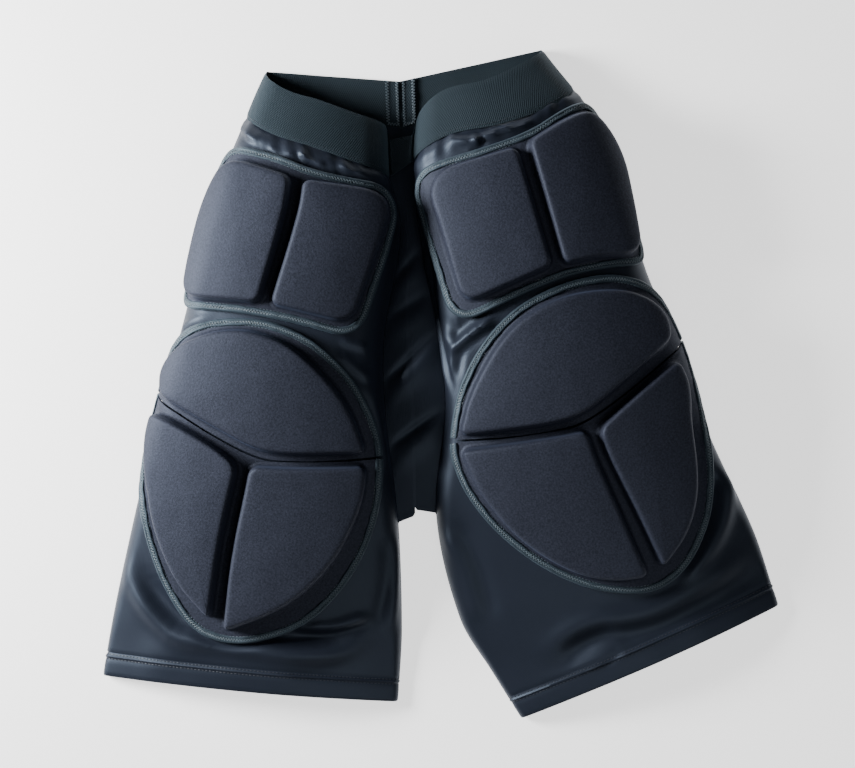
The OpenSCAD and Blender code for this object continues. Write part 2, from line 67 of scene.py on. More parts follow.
shape = {"crown": math.radians(17), "shift": (0.6, 0.1, -0.2), "fabric": 1.4, "elastic": 2.0,
         "bandDepth": 38, "hemDepth": 20, "padBase": 4.7, "padLean": 0.4}
halves = {
    "right": {
        "name": "right", "leg": "right_leg", "side": -1, "top": (-93, 224), "turn": math.radians(7.4),
        # distance down, half-widths to the side and to the centre, rise, height of the back
        "stations": [[-40, 50, 42, 25, 2], [0, 60, 48, 30, 6], [45, 72, 56, 34, 15], [90, 82, 72, 36, 17],
                     [180, 92, 70, 36, 17], [240, 100, 79, 36, 17], [320, 110, 99, 33, 11],
                     [410, 119, 114, 27, 4], [460, 122, 118, 23, 2.8], [520, 123, 121, 22, 2.8]],
        # across from the centre (-1) to the side (1), elastic's top and lower edge
        "band": [[-1, 8, 50], [-0.5, 4, 44], [0, -3, 36], [0.4, -8, 30], [1, -25, 13]],
        "backTop": -31, "hem": (477, 5), "thigh": (304, 2), "hip": (110, 3), "crotch": 318},
    "left": {
        "name": "left", "leg": "left_leg", "side": 1, "top": (32, 241), "turn": math.radians(16.4),
        "stations": [[-40, 50, 46, 25, 2], [0, 62, 54, 30, 6], [45, 80, 70, 34, 15], [90, 86, 80, 36, 17],
                     [180, 86, 90, 36, 17], [240, 93, 101, 36, 17], [320, 98, 132, 33, 11],
                     [410, 112, 138, 27, 4], [460, 114, 125, 23, 2.8], [520, 116, 108, 22, 2.8]],
        "band": [[-1, 10, 42], [-0.5, -4, 33], [0, -2, 37], [0.5, -8, 34], [1, -17, 21]],
        "backTop": -25, "hem": (488, -15), "thigh": (300, 6), "hip": (110, 3), "crotch": 313}}
groove = [[-112, -34], [-55, -22], [-20, -17], [5, -17], [38, -28], [82, -48], [112, -62]]


def along(table, x, column):  # a smooth curve through the table's rows
    rows = np.array(table, float)
    x = np.asarray(x, float)
    places, values = rows[:, 0], rows[:, column]
    last = len(places) - 1
    after, before = np.minimum(np.arange(last + 1) + 1, last), np.maximum(np.arange(last + 1) - 1, 0)
    slopes = (values[after] - values[before]) / (places[after] - places[before])
    i = np.clip(np.searchsorted(places, x, side="right") - 1, 0, last - 1)
    d = places[i + 1] - places[i]
    f = np.clip((x - places[i]) / d, 0, 1)
    return ((2 * f**3 - 3 * f**2 + 1) * values[i] + (f**3 - 2 * f**2 + f) * d * slopes[i]
            + (3 * f**2 - 2 * f**3) * values[i + 1] + (f**3 - f**2) * d * slopes[i + 1])


def unit(v):
    return v / np.linalg.norm(v, axis=-1, keepdims=True)


def distances(points):  # how far along a line each of its points lies
    return np.r_[0, np.cumsum(np.linalg.norm(np.diff(points, axis=0), axis=1))]


def fractions(count):
    return np.linspace(0, 1, count + 1)


def section(half, u):  # middle, rise, back's height, and the two arcs' radii
    out, inner, rise = (along(half["stations"], u, k) for k in (1, 2, 3))
    width = (out + inner) / 2
    crown = shape["crown"]
    extra = (width - rise) / (math.sin(crown) + math.cos(crown) - 1)
    low = width - extra * math.sin(crown)
    return (out - inner) / 2, rise, along(half["stations"], u, 4), low, low + extra


def halfArc(half, u):  # fabric from the crown to the fold
    _, _, _, low, high = section(half, u)
    return shape["crown"] * high + (pi / 2 - shape["crown"]) * low


def place(half, u, v, z):
    u, v, z = np.broadcast_arrays(*(np.asarray(k, float) for k in (u, v, z)))
    turn, side = half["turn"], half["side"]
    x = half["top"][0] + side * (u * math.sin(turn) + v * math.cos(turn))
    y = half["top"][1] - u * math.cos(turn) + v * math.sin(turn)
    return np.stack([x, y, z], -1) + np.array(shape["shift"])


def skin(half, u, w, off):
    middle, rise, base, low, high = section(half, u)
    crown = shape["crown"]
    reach = np.abs(w)
    steep = reach > crown * high
    angle = np.where(steep, crown + (reach - crown * high) / low, reach / high)
    radius = np.where(steep, low, high) + off
    x = np.where(steep, (high - low) * math.sin(crown), 0) + radius * np.sin(angle)
    z = rise - high + np.where(steep, (high - low) * math.cos(crown), 0) + radius * np.cos(angle)
    return place(half, u, middle + np.where(np.asarray(w) >= 0, 1, -1) * x, base + z)


def raised(half, u, w, off):  # a stiff pad's cells stand more upright than the cloth's curve
    base, lean = shape["padBase"], shape["padLean"]
    foot = skin(half, u, w, np.minimum(off, base))
    outwards = skin(half, u, w, base + 1.0) - skin(half, u, w, base)
    way = unit(outwards * lean + np.array([0, 0, 1 - lean]))
    height = np.maximum(np.asarray(off, float) - base, 0)
    return foot + way * (height[..., None] if np.ndim(height) else height)


def back(half, u, v, z):
    return place(half, u, v, section(half, u)[2] + z)


def outEdge(half, u):
    return along(half["stations"], u, 1)


def inEdge(half, u):
    return -along(half["stations"], u, 2)


seamLine = {"x": -25.3, "lean": 0.035}  # the centre-back seam


def seamEdge(half, u):
    spot = place(half, u, 0, 0) - np.array(shape["shift"])
    slope = half["side"] * math.cos(half["turn"]) + seamLine["lean"] * math.sin(half["turn"])
    return (seamLine["x"] - spot[..., 0] - seamLine["lean"] * spot[..., 1]) / slope


def hemEnd(half, t):
    return half["hem"][0] + half["hem"][1] * t


def wander(a, b, size, seed=0):  # smooth unevenness from -1 to 1
    a, b = np.asarray(a) / size * 2 * pi, np.asarray(b) / size * 2 * pi
    return (np.sin(a * 0.71 + b * 0.43 + seed) + np.sin(-a * 0.37 + b * 0.93 + 2.1 * seed + 1.3)
            + np.sin(a * 1.13 - b * 0.57 + 0.7 * seed + 4.2) + np.sin(a * 0.23 + b * 1.27 + 3.3 * seed)) / 4


def smooth(x):
    x = np.clip(x, 0, 1)
    return x * x * (3 - 2 * x)


def bell(x, width):
    return np.exp(-(x / width)**2)


def fadeEnds(f, run):
    return smooth(f / run) * smooth((1 - f) / run)


def mix(a, b, f):
    return a + (b - a) * f


def sideways(count, crowd=0.45):  # from -1 to 1, closer together near both ends
    lean = np.linspace(-1, 1, count + 1)
    return mix(lean, np.sin(lean * pi / 2), crowd)


# Outlines

def rounded(corners, steps=10):
    points = []
    count = len(corners)
    for i, corner in enumerate(corners):
        p = np.array(corner[:2], float)
        reach = corner[2] if len(corner) > 2 else 99
        toPrevious, toNext = (np.array(corners[k % count][:2], float) - p for k in (i - 1, i + 1))
        ends = []
        for v in (toPrevious, toNext):
            length = np.linalg.norm(v)
            ends.append(p + v / length * min(reach, 0.48 * length))
        for k in range(steps + 1):
            f = k / steps
            points.append((1 - f)**2 * ends[0] + 2 * f * (1 - f) * p + f**2 * ends[1])
    return np.array(points)


def evenly(outline, step, closed=True):  # the same line with its points spaced out evenly
    points = np.vstack([outline, outline[:1]]) if closed else np.asarray(outline)
    lengths = distances(points)
    count = max(4, int(round(lengths[-1] / step)))
    marks = np.linspace(0, lengths[-1], count + 1)
    even = np.stack([np.interp(marks, lengths, points[:, k]) for k in range(points.shape[1])], 1)
    return even[:-1] if closed else even


def inwards(outline, closed=True):
    if closed:
        t = np.roll(outline, -1, 0) - np.roll(outline, 1, 0)
    else:
        t = np.gradient(outline, axis=0)
    t = unit(t)
    return np.stack([-t[:, 1], t[:, 0]], 1)


def inset(outline, distance, closed=True):
    return outline + distance * inwards(outline, closed)


def inside(outline, a, b):  # distance in from an outline, negative outside it
    flat = np.stack([np.ravel(a), np.ravel(b)], 1)
    nearest = np.full(len(flat), 1e9)
    within = np.zeros(len(flat), bool)
    for start, end in zip(outline, np.roll(outline, -1, 0)):
        d = end - start
        f = np.clip(((flat - start) @ d) / (d @ d), 0, 1)
        nearest = np.minimum(nearest, np.linalg.norm(flat - start - f[:, None] * d, axis=1))
        crosses = (start[1] > flat[:, 1]) != (end[1] > flat[:, 1])
        with np.errstate(divide="ignore", invalid="ignore"):
            at = start[0] + (flat[:, 1] - start[1]) * d[0] / (d[1] if d[1] else 1e-9)
        within ^= crosses & (flat[:, 0] < at)
    return np.where(within, nearest, -nearest).reshape(np.shape(a))


# Materials

class Wire:  # a socket that shader maths can be written with
    def __init__(self, tree, socket):
        self.tree, self.socket = tree, socket

    def node(self, kind, settings=(), inputs=(), output=0):
        made = self.tree.nodes.new(kind)
        for key, value in dict(settings).items():
            if key == "stops":
                while len(made.color_ramp.elements) < len(value):
                    made.color_ramp.elements.new(1)
                for element, (position, colour) in zip(made.color_ramp.elements, value):
                    element.position, element.color = position, (*colour, 1)
            else:
                setattr(made, key, value)
        for key, value in dict(inputs).items():
            if isinstance(value, Wire):
                self.tree.links.new(value.socket, made.inputs[key])
            else:
                made.inputs[key].default_value = value
        return Wire(self.tree, made.outputs[output])

    def maths(self, operation, *values):
        return self.node("ShaderNodeMath", {"operation": operation}, dict(enumerate(values)))

    def __add__(self, other):
        return self.maths("ADD", self, other)

    def __mul__(self, other):
        return self.maths("MULTIPLY", self, other)

    def __sub__(self, other):
        return self.maths("SUBTRACT", self, other)

    def __rsub__(self, other):
        return self.maths("SUBTRACT", other, self)

    __radd__, __rmul__ = __add__, __mul__

    def sine(self):
        return self.maths("SINE", self)

    def blendColours(self, low, high):
        return self.node("ShaderNodeMix", {"data_type": "RGBA"}, {0: self, 6: (*low, 1), 7: (*high, 1)}, 2)


def shaded(name):
    material = bpy.data.materials.new(name)
    material.use_nodes = True
    return material, next(n for n in material.node_tree.nodes if n.type == "BSDF_PRINCIPLED")


def cloth(name, finish):
    material, shader = shaded(name)
    tree = material.node_tree
    for socket, value in zip(socketNames, finish["sockets"]):
        shader.inputs[socket].default_value = value
    start = Wire(tree, None)
    spots = start.node("ShaderNodeTexCoord", output=2 if finish.get("followsCloth") else 3)

    def noise(scale, detail):
        return start.node("ShaderNodeTexNoise", {}, {"Vector": spots, "Scale": scale, "Detail": detail})
    patchScale, share, grainScale = finish["grain"]
    uneven, grain = noise(patchScale, 3.0), noise(grainScale, 2.0)
    tone = uneven * share + grain * (1 - share)
    tone = (tone - 0.5) * finish.get("contrast", 1.0) + 0.5
    colour = tone.blendColours(*finish["colours"])
    height = grain
    if finish.get("ribs"):
        split = spots.node("ShaderNodeSeparateXYZ", {}, {0: spots})
        across = Wire(tree, split.socket.node.outputs[1])
        pitch, lean = finish["ribs"]
        turns, slant = split * (2 * pi / pitch), across * (lean * 2 * pi / pitch)
        height = grain * 0.35 + (turns + slant).sine() * 0.5
        height = height + (turns - slant).sine() * finish.get("twill", 0.0)
    tree.links.new(colour.socket, shader.inputs["Base Color"])
    strength, depth = finish["bump"]
    bump = start.node("ShaderNodeBump", {}, {"Height": height, "Strength": strength, "Distance": depth})
    tree.links.new(bump.socket, shader.inputs["Normal"])
    return material


# grain: noise scale of the patches, their share, noise scale of the fine grain; ribs: pitch and lean;
# bump: strength and depth
socketNames = ("Roughness", "Specular IOR Level", "Specular Tint", "Sheen Weight", "Sheen Roughness",
               "Sheen Tint")
finishes = {
    "shell_knit": {
        "sockets": (0.5, 0.4, (0.62, 0.78, 1, 1), 0.05, 0.35, (0.35, 0.5, 0.9, 1)),
        "colours": ((0.0056, 0.0072, 0.0126), (0.0106, 0.013, 0.0212)), "grain": (14, 0.5, 1500),
        "followsCloth": True, "ribs": (0.0011, 0.0), "bump": (0.12, 0.0003)},
    "pad_knit": {
        "sockets": (0.64, 0.34, (0.66, 0.76, 1, 1), 0.03, 0.5, (0.38, 0.52, 0.95, 1)),
        "colours": ((0.0058, 0.0068, 0.011), (0.0226, 0.0252, 0.0386)), "grain": (9, 0.15, 700),
        "contrast": 2.4, "bump": (0.45, 0.0004)},
    "elastic": {
        "sockets": (0.72, 0.28, (0.65, 0.85, 1, 1), 0.12, 0.5, (0.4, 0.65, 0.85, 1)),
        "colours": ((0.0052, 0.0085, 0.0115), (0.0105, 0.0162, 0.0205)), "grain": (18, 0.4, 1300),
        "followsCloth": True, "ribs": (0.0017, 0.6), "twill": 0.2, "bump": (0.6, 0.0004)},
    "binding": {
        "sockets": (0.55, 0.42, (0.65, 0.85, 1, 1), 0.08, 0.4, (0.4, 0.62, 0.85, 1)),
        "colours": ((0.0155, 0.023, 0.031), (0.027, 0.039, 0.05)), "grain": (30, 0.3, 1400),
        "bump": (0.4, 0.0004)},
    "thread": {
        "sockets": (0.5, 0.45),
        "colours": ((0.06, 0.085, 0.105), (0.11, 0.145, 0.17)), "grain": (60, 0.5, 2000),
        "bump": (0.2, 0.0002)},
    "shell_thread": {
        "sockets": (0.5, 0.4),
        "colours": ((0.011, 0.0145, 0.023), (0.025, 0.031, 0.046)), "grain": (60, 0.5, 2000),
        "bump": (0.2, 0.0002)}}
materials = {name: cloth(name, finish) for name, finish in finishes.items()}
print("materials made")


# Making meshes

def makePiece(name, points, faces, finish, uvs=None, crease=55):
    mesh = bpy.data.meshes.new(name)
    vertices = (np.asarray(points).reshape(-1, 3) * mm).tolist()
    mesh.from_pydata(vertices, [], [list(map(int, f)) for f in faces])
    if uvs is not None:
        layer = mesh.uv_layers.new(name="cloth")
        corners = np.empty(len(mesh.loops), np.int32)
        mesh.loops.foreach_get("vertex_index", corners)
        layer.data.foreach_set("uv", (np.asarray(uvs, float).reshape(-1, 2)[corners] * mm).ravel())
    mesh.materials.append(materials[finish])
    piece = bpy.data.objects.new(name, mesh)
    bpy.context.scene.collection.objects.link(piece)
    work = bmesh.new()
    work.from_mesh(mesh)
    bmesh.ops.recalc_face_normals(work, faces=work.faces)
    work.to_mesh(mesh)
    work.free()
    bpy.ops.object.select_all(action="DESELECT")
    piece.select_set(True)
    bpy.context.view_layer.objects.active = piece
    bpy.ops.object.shade_smooth_by_angle(angle=math.radians(crease))
    return piece


def tiles(index):
    return np.stack([index[:-1, :-1], index[:-1, 1:], index[1:, 1:], index[1:, :-1]], -1).reshape(-1, 4)


def sheetMesh(top, low, uv):  # a closed sheet between two grids of points
    rows, columns = top.shape[:2]
    index = np.arange(rows * columns).reshape(rows, columns)
    rim = np.concatenate([index[0], index[1:, -1], index[-1, -2::-1], index[-2:0:-1, 0]])
    onward = np.roll(rim, -1)
    under = rows * columns
    faces = np.concatenate([tiles(index), tiles(index)[:, ::-1] + under,
                            np.stack([onward, rim, rim + under, onward + under], 1)])
    points = np.concatenate([top.reshape(-1, 3), low.reshape(-1, 3)])
    return points, faces, np.concatenate([uv.reshape(-1, 2)] * 2)


def ringMesh(loops, closed):  # equal cross-sections, closed into a ring or capped
    count, sides = loops.shape[:2]
    index = np.arange(count * sides).reshape(count, sides)
    rows = np.vstack([index, index[:1]]) if closed else index
    faces = [list(f) for f in tiles(np.hstack([rows, rows[:, :1]]))]
    if not closed:
        faces += [list(index[0]), list(index[-1][::-1])]
    return loops.reshape(-1, 3), faces


def ringUv(line, loops, depths):  # round the ring by the length of one of its lines, and down it
    girth = distances(line)
    return np.stack([np.repeat(girth[:, None], len(depths), 1),
                     np.repeat(depths[None, :], len(loops), 0)], -1)


def pebbleMesh(first, rings, last):  # from a first pole through rings to a last pole
    rings = np.asarray(rings)
    count, sides = rings.shape[:2]
    index = 1 + np.arange(count * sides).reshape(count, sides)
    rows = np.hstack([index, index[:, :1]])
    end = count * sides + 1
    faces = [[0, rows[0, j], rows[0, j + 1]] for j in range(sides)]
    faces += [list(f) for f in tiles(rows)]
    faces += [[rows[-1, j], end, rows[-1, j + 1]] for j in range(sides)]
    return np.concatenate([[first], rings.reshape(-1, 3), [last]]), faces


def joinMeshes(parts):
    points, faces, base = [], [], 0
    for p, f in parts:
        points.append(p)
        faces += [[k + base for k in face] for face in f]
        base += len(p)
    return np.concatenate(points), faces


# Stitches: one is modelled, and every thread row is made of copies of it

stitchShape = {"sides": 5, "tip": 0.22, "tipIn": 0.45, "dash": 0.62}


def modelStitch():
    bpy.ops.object.select_all(action="DESELECT")
    bpy.ops.mesh.primitive_cylinder_add(vertices=stitchShape["sides"], radius=1, depth=1,
                                        rotation=(0, pi / 2, 0))
    stitch = bpy.context.object
    bpy.ops.object.transform_apply(rotation=True)
    bpy.ops.object.mode_set(mode="EDIT")
    work = bmesh.from_edit_mesh(stitch.data)
    for face in work.faces:
        face.select_set(abs(face.normal.x) > 0.9)
    bmesh.update_edit_mesh(stitch.data)
    bpy.ops.mesh.inset(thickness=stitchShape["tipIn"], depth=stitchShape["tip"])
    bpy.ops.object.mode_set(mode="OBJECT")
    points = np.array([v.co for v in stitch.data.vertices])
    points[:, 0] /= np.abs(points[:, 0]).max() * 2
    faces = [list(p.vertices) for p in stitch.data.polygons]
    bpy.data.objects.remove(stitch)
    return points, faces


stitchPoints, stitchFaces = modelStitch()


def sew(starts, ends, normals, radius):  # one copy of the stitch from each start to its end
    starts, ends, normals = (np.asarray(k, float).reshape(-1, 3) for k in (starts, ends, normals))
    ahead = ends - starts
    length = np.linalg.norm(ahead, axis=1, keepdims=True)
    ahead = ahead / length
    side = unit(np.cross(normals, ahead))
    up = np.cross(ahead, side)
    middle = (starts + ends) / 2
    points = (middle[:, None] + ahead[:, None] * (stitchPoints[None, :, 0:1] * length[:, None])
              + side[:, None] * stitchPoints[None, :, 1:2] * radius
              + up[:, None] * stitchPoints[None, :, 2:3] * radius)
    count = len(stitchPoints)
    faces = [[k + i * count for k in face] for i in range(len(starts)) for face in stitchFaces]
    return points.reshape(-1, 3), faces


def zigzag(spotLine, normalLine, radius):  # spotLine: the thread's corners, one after the other
    return sew(spotLine[:-1], spotLine[1:], normalLine[:-1], radius)


def dashes(line, normals, radius):
    return sew(line[:-1], mix(line[:-1], line[1:], stitchShape["dash"]), normals[:-1], radius)


def upright(line):
    return np.tile([0, 0, 1.0], (len(line), 1))


def upAt(spot, p, q):  # the surface's normal at places on it
    return unit(spot(p, q, 1.0) - spot(p, q, 0.0))


# Folds in the shell: a line of [u, w], the fold's height and width, then how deep the hollow beside
# it is and how far off

foldShape = {"strength": 1.25, "taper": 0.22, "steps": 26}
folds = {
    "right": [
        ([[375, 117], [404, 104], [425, 85], [439, 62], [440, 20], [441, -30], [436, -70], [418, -98]],
         4.4, 8.5, -3.8, -13),
        ([[458, 100], [452, 50], [457, 0], [452, -60]], 1.8, 15, 0, 0),
        ([[420, -28], [416, -62], [402, -94]], 2.6, 4.5, -1.6, 6),
        ([[185, -46], [188, -58], [190, -73]], 1.0, 3.4, -0.6, 5),
        ([[197, -47], [206, -62], [216, -80]], 1.3, 4.2, -0.6, 5),
        ([[214, -76], [250, -88], [290, -98]], 1.6, 6, -1.2, 8),
        ([[196, 92], [187, 74], [182, 50]], 1.6, 4, -1.2, 5),
        ([[330, -108], [370, -112], [420, -106]], 1.6, 7, -1.5, 9),
        ([[40, 34], [46, 22], [45, 8]], 2.4, 2.6, -1.6, 4),
        ([[44, 30], [52, 18], [50, 4]], 1.9, 2.4, -1.2, 4),
        ([[40, 8], [47, 0], [52, -16]], 2.3, 2.6, -1.4, 4),
        ([[46, -22], [52, -36], [58, -58]], 1.8, 3.2, -1.4, 5),
        ([[24, 66], [34, 48], [38, 40]], 1.6, 3.4, -1.2, 5)],
    "left": [
        ([[345, 125], [365, 119], [392, 104], [412, 82], [430, 45]], 4.2, 8, -3.2, -14),
        ([[418, 126], [431, 90], [438, 60], [445, 18], [441, -40], [462, -88]], 2.6, 9, -2.4, 16),
        ([[446, -8], [454, -36], [462, -66]], -1.0, 8, 0.6, 12),
        ([[468, -14], [478, -32], [488, -48]], -0.8, 4, 0.5, 5),
        ([[462, 80], [468, 20], [474, -40], [476, -100]], 1.0, 5, 0, 0),
        ([[176, -88], [196, -78], [190, -62], [182, -40]], 2.4, 6, -1.8, 9),
        ([[224, -92], [198, -80], [188, -58], [180, -34]], 1.8, 3.5, -1.4, -7),
        ([[100, -86], [150, -99], [200, -101], [240, -96]], 1.8, 4, -1.4, 7),
        ([[330, -116], [365, -108], [420, -112]], 1.8, 8, -1.4, 10),
        ([[34, -46], [42, -30], [42, -8], [38, 20]], 2.2, 3.2, -1.6, 5),
        ([[38, -26], [46, -22], [50, -34]], 2.0, 2.6, -1.4, 4),
        ([[38, -6], [44, 8], [40, 26]], 1.8, 3, -1.4, 5),
        ([[38, 24], [32, 44], [28, 66]], 1.8, 3.6, -1.4, 5)]}
billows = ((0.5, 120, 0), (0.25, 45, 2))  # the cloth's own unevenness: height, pitch, seed
puckers = {"height": 1.25, "pitch": 15, "stretch": 0.22, "fades": 15}
nearBand = {"puff": 1.3, "puffAt": 7, "puffWidth": 6, "dent": 1.2, "dentWidth": 3.2}
nearPads = {"free": 7, "press": 0.4, "pressWidth": 6}
padBuild = {"flangeLow": 2.6, "flangeTop": 4.4, "flangeIn": 4.0, "cellTop": 20.2, "bindingWidth": 6.0,
            "bindingHeight": 3.4, "step": 2.4, "thighGap": 0.3, "flangeGap": 0.6, "grooveGap": 0.9}

# Each pad's outline and its foam cells: [down, outwards, edge taken by the corner's rounding if limited]
pads = {
    "right": {
        "hip": [[-52, -80, 30], [75, -66, 26], [64, 10], [67, 88, 20], [-20, 88, 40], [-69, 68, 28],
                [-64, 22], [-53, -14]],
        "hip_foam_inner": [[-46, -70, 24], [63, -58, 18], [56, 8, 8], [-46, -1, 8]],
        "hip_foam_outer": [[-47, 7, 8], [56, 15, 8], [59, 78, 18], [16, 80], [-24, 77],
                           [-58, 58, 18]],
        "thigh": [[-35, -93], [18, -93], [70, -76], [115, -42], [137, 8], [131, 48], [92, 80],
                  [40, 102], [-25, 108], [-58, 103], [-88, 96], [-118, 68], [-128, 18], [-118, -26],
                  [-92, -62], [-65, -81]],
        "thigh_foam_top": [[-31, -79, 9], [-27, -50], [-22, -16], [-23, 8], [-36, 40], [-55, 85, 9],
                           [-80, 88], [-106, 66], [-118, 30], [-113, -6], [-94, -36], [-66, -64]],
        "thigh_foam_inner": [[-22, -80, 9], [10, -78], [60, -60], [100, -26], [126, 23, 9], [62, 22],
                             [-11, 12, 9], [-13, -20]],
        "thigh_foam_outer": [[-10, 20, 9], [50, 30], [118, 33, 9], [90, 66], [40, 91], [-16, 97],
                             [-44, 92, 9], [-25, 43]]},
    "left": {
        "hip": [[-59, -88, 30], [72, -78, 26], [58, 6, 40], [60, 50], [68, 88, 20], [-20, 92, 40],
                [-73, 74, 26], [-72, 50, 30], [-58, 10, 40]],
        "hip_foam_inner": [[-51, -72, 26], [58, -66, 18], [48, 9, 8], [-51, 3, 8]],
        "hip_foam_outer": [[-52, 11, 8], [50, 16, 8], [51, 45, 30], [59, 79, 18], [20, 82], [-25, 84],
                           [-63, 68, 22], [-64, 50, 24]],
        "thigh": [[-30, -106], [5, -98], [52, -78], [92, -50], [120, -16], [133, 24], [118, 60],
                  [82, 92], [40, 108], [-22, 109], [-55, 105], [-84, 97], [-110, 78], [-125, 50],
                  [-128, 4], [-116, -42], [-78, -88]],
        "thigh_foam_top": [[-34, -95, 9], [-27, -50], [-22, -16], [-23, 8], [-38, 38], [-60, 82, 9],
                           [-84, 82], [-107, 64], [-117, 26], [-117, -6], [-105, -42], [-66, -82]],
        "thigh_foam_inner": [[-24, -95, 9], [14, -83], [62, -62], [98, -32], [113, -4, 30],
                             [117, 23, 9], [46, 19], [-11, 8, 9], [-13, -20]],
        "thigh_foam_outer": [[-9, 15, 9], [52, 29], [114, 34, 9], [90, 68], [50, 90], [-16, 95],
                             [-45, 85, 9], [-25, 43]]}}
for half in halves.values():
    half["hipEdge"] = evenly(rounded(pads[half["name"]]["hip"], 12), padBuild["step"])
    half["thighEdge"] = evenly(rounded(pads[half["name"]]["thigh"], 8), padBuild["step"])


def foldHeight(fold, u, w):
    knots, height, width, hollow, shift = fold
    marks = distances(np.array(knots, float))
    table = np.column_stack([marks, knots])
    steps = np.linspace(0, marks[-1], foldShape["steps"])
    line = np.stack([along(table, steps, 1), along(table, steps, 2)], 1)
    best, signed, share = np.full(u.shape, 1e9), np.zeros(u.shape), np.zeros(u.shape)
    for i in range(len(line) - 1):
        d = line[i + 1] - line[i]
        f = np.clip(((u - line[i, 0]) * d[0] + (w - line[i, 1]) * d[1]) / (d @ d), 0, 1)
        gap = np.hypot(u - line[i, 0] - f * d[0], w - line[i, 1] - f * d[1])
        nearer = gap < best
        cross = d[0] * (w - line[i, 1]) - d[1] * (u - line[i, 0])
        best = np.where(nearer, gap, best)
        signed = np.where(nearer, np.sign(cross) * gap, signed)
        share = np.where(nearer, (i + f) / (len(line) - 1), share)
    rise = height * bell(signed, width) + hollow * bell(signed - shift, width)
    return foldShape["strength"] * rise * fadeEnds(share, foldShape["taper"])


def drape(half, u, w):  # how far the fabric stands off its plain shape
    t = w / halfArc(half, u)
    under = u - along(half["band"], t, 2)
    height = sum(size * wander(u, w, pitch, seed + half["side"]) for size, pitch, seed in billows)
    height += (puckers["height"] * bell(under, puckers["fades"])
               * wander(u * puckers["stretch"], w + 0.25 * under, puckers["pitch"], 4 + half["side"]))
    height += (nearBand["puff"] * bell(under - nearBand["puffAt"], nearBand["puffWidth"])
               - nearBand["dent"] * bell(under, nearBand["dentWidth"]))
    for fold in folds[half["name"]]:
        height += foldHeight(fold, u, w)
    for pad in ("hip", "thigh"):
        depth = inside(half[pad + "Edge"], u - half[pad][0], w - half[pad][1])
        free = smooth(-depth / nearPads["free"])
        height = np.where(height > 0, height * free, height)
        height = height - nearPads["press"] * smooth(depth / nearPads["pressWidth"])
    return height * smooth((1 - np.abs(t)) / 0.10)


frontSheet = {"rows": 190, "columns": 120, "underBand": 5, "underHem": 3.5, "bandDrop": 2.6, "bandRun": 5.5,
              "hemDrop": 1.1, "hemRun": 5, "flat": (0.25, 0.46), "area": {"right": 0.094, "left": 0.103}}


def frontEnds(half, t):  # where the front's fabric begins and ends
    return (along(half["band"], t, 2) - frontSheet["underBand"],
            hemEnd(half, t) - shape["hemDepth"] + frontSheet["underHem"])


def tuck(half, u, t):  # under the elastic at one end and under the hem's turned layer at the other
    start, end = frontEnds(half, t)
    return (-frontSheet["bandDrop"] * smooth(1 - (u - start) / frontSheet["bandRun"])
            - frontSheet["hemDrop"] * smooth(1 - (end - u) / frontSheet["hemRun"]))


for name, half in halves.items():
    across = sideways(frontSheet["columns"])[None, :]
    down = fractions(frontSheet["rows"])[:, None]
    start, end = frontEnds(half, across)
    u = mix(start, end, down)
    w = across * halfArc(half, u)
    off = drape(half, u, w) + tuck(half, u, across)
    points, faces, uv = sheetMesh(skin(half, u, w, off), skin(half, u, w, off - shape["fabric"]),
                                  np.stack([w, u], -1))
    front = makePiece(name + "_shell_front", points, faces, "shell_knit", uv)
    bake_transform(front)
    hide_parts(name + "_front_panel", name + "_leg_front")
print("front fabric laid")


# Back fabric: flat under the shorts, from the elastic to the hem

backSheet = {"rows": 150, "columns": 56, "crotchStep": 10, "overlap": 0.1, "legIn": 0.3, "sideIn": 0.5,
             "underBand": 4, "aboveHem": 16, "height": -0.5, "wave": 0.45, "flat": (0.26, 0.46),
             "area": {"right": 0.089, "left": 0.098}}


def backTop(half, f):  # from the side (0) to the centre (1)
    return mix(along(half["band"], 1, 1), half["backTop"], f)


def innerEdge(half, u):  # the centre-back seam, then the inside of the leg
    leg = smooth((u - half["crotch"]) / backSheet["crotchStep"])
    return mix(seamEdge(half, u) - backSheet["overlap"], inEdge(half, u) + backSheet["legIn"], leg)


for name, half in halves.items():
    f = fractions(backSheet["columns"])[None, :]
    down = fractions(backSheet["rows"])[:, None]
    u = mix(backTop(half, 1 - f) + shape["bandDepth"] - backSheet["underBand"],
            hemEnd(half, 2 * f - 1) - backSheet["aboveHem"], down)
    v = mix(innerEdge(half, u), outEdge(half, u) - backSheet["sideIn"], f)
    wave = backSheet["wave"] * wander(u, v, 70, 5) * fadeEnds(f, 0.1)
    height = backSheet["height"] + wave
    points, faces, uv = sheetMesh(back(half, u, v, height), back(half, u, v, height - shape["fabric"]),
                                  np.stack([v, u], -1))
    rear = makePiece(name + "_shell_back", points, faces, "shell_knit", uv)
    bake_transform(rear)
    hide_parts(name + "_back_panel", name + "_leg_back")
print("back fabric laid")


# Hems: a turned ring with two rows of needle stitches

hemRing = {"across": 130, "behind": 60, "rowsUp": (14.5, 18.3), "stitch": 3.0, "thread": 0.34,
           "dent": 0.6, "dentWidth": 1.0, "puff": 0.5, "puffWidth": 1.3, "sideIn": 2.6, "backLow": -1.3,
           "threadLift": 0.62, "backThread": -2.55, "flat": (0.48, 0.022)}
hemProfile = [[-1.0, -0.9], [0.5, -0.3], [1.1, 0.15], [1.7, 0.35], [2.4, 0.4], [3.6, 0.5], [4.7, 0.5],
              [5.5, 0.5], [6.3, 0.5], [10, 0.45], [16, 0.4], [19, 0.3], [19.8, -0.2],
              [20, -0.75], [19.8, -1.3], [19, -1.75], [10, -1.8], [1, -1.8]]  # down from its top, and off


